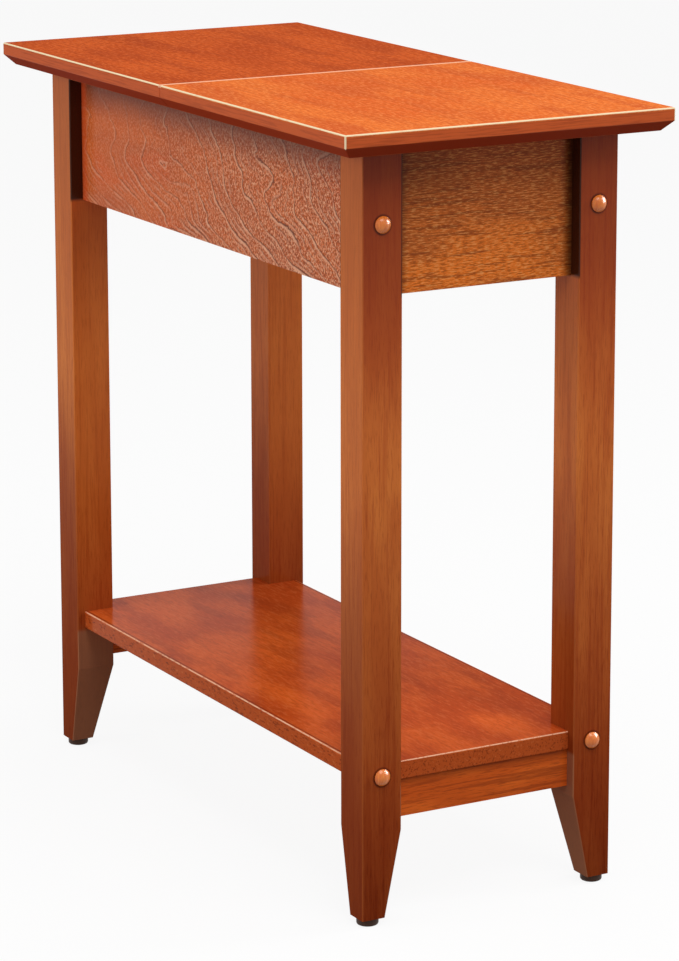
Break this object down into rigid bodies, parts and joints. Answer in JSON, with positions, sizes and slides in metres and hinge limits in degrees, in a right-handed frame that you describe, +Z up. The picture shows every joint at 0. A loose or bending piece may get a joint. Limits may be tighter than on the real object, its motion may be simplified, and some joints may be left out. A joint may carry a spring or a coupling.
{
  "type": "lift top end table",
  "caption": "Narrow end table with a flip-over half top above a storage box, square tapered legs, deep aprons and a low notched shelf.",
  "frame": {"origin": "on the floor, under the centre of the table", "axes": "+Z up, X along the table with the lid at +X (front), Y across the table, mirror symmetric about Y = 0 apart from the hinge leaves"},
  "size_m": [0.59, 0.282, 0.61],
  "materials": {
    "top_veneer": "cherry stain, satin lacquer",
    "apron_veneer": "cherry stain, figured veneer, satin lacquer",
    "leg_wood": "cherry stain, satin lacquer",
    "shelf_veneer": "cherry stain, satin lacquer",
    "button_wood": "cherry stain, satin lacquer",
    "box_panel": "thin stain on plywood",
    "dowel_wood": "plain beech",
    "zinc_steel": "zinc plated",
    "hinge_brass": "turned brass",
    "glide_plastic": "moulded, dark brown"
  },
  "bodies": {
    "frame": {"fixed_top": "top_veneer", "leg_front_left": "leg_wood", "leg_front_right": "leg_wood", "leg_back_left": "leg_wood", "leg_back_right": "leg_wood", "glide_front_left": "glide_plastic", "glide_front_right": "glide_plastic", "glide_back_left": "glide_plastic", "glide_back_right": "glide_plastic", "side_apron_left": "apron_veneer", "side_apron_right": "apron_veneer", "end_apron_front": "apron_veneer", "end_apron_back": "apron_veneer", "compartment_bottom": "box_panel", "compartment_divider": "box_panel", "shelf": "shelf_veneer", "shelf_rail_front": "apron_veneer", "shelf_rail_back": "apron_veneer", "apron_bolts": "zinc_steel", "apron_barrel_nuts": "zinc_steel", "apron_bolt_plugs": "button_wood", "shelf_bolts": "zinc_steel", "shelf_barrel_nuts": "zinc_steel", "shelf_bolt_plugs": "button_wood", "side_apron_dowels": "dowel_wood", "end_apron_dowels": "dowel_wood", "rail_dowels": "dowel_wood", "rail_screws": "zinc_steel", "top_brackets": "zinc_steel", "bracket_apron_screws": "zinc_steel", "bracket_top_screws": "zinc_steel", "hinge_barrels_fixed": "hinge_brass"},
    "lid": {"lid": "top_veneer", "hinge_barrels_lid": "hinge_brass"},
    "leaf_inner": {"hinge_leaf_inner": "hinge_brass"},
    "leaf_middle": {"hinge_leaf_middle": "hinge_brass"},
    "leaf_outer": {"hinge_leaf_outer": "hinge_brass"}
  },
  "joints": [
    {"name": "lid_hinge", "type": "hinge", "parent": "frame", "child": "lid", "pos_m": [0, 0, 0.61015], "axis": [0, -1, 0], "range_deg": [0, 180]},
    {"name": "leaf_inner_turn", "type": "hinge", "parent": "frame", "child": "leaf_inner", "pos_m": [0, 0, 0.61015], "axis": [0, -1, 0], "range_deg": [0, 45]},
    {"name": "leaf_middle_turn", "type": "hinge", "parent": "frame", "child": "leaf_middle", "pos_m": [0, 0, 0.61015], "axis": [0, -1, 0], "range_deg": [0, 90]},
    {"name": "leaf_outer_turn", "type": "hinge", "parent": "frame", "child": "leaf_outer", "pos_m": [0, 0, 0.61015], "axis": [0, -1, 0], "range_deg": [0, 135]}
  ],
  "couplings": [
    {"joint": "leaf_inner_turn", "follows": "lid_hinge", "ratio": 0.25},
    {"joint": "leaf_middle_turn", "follows": "lid_hinge", "ratio": 0.5},
    {"joint": "leaf_outer_turn", "follows": "lid_hinge", "ratio": 0.75}
  ]
}
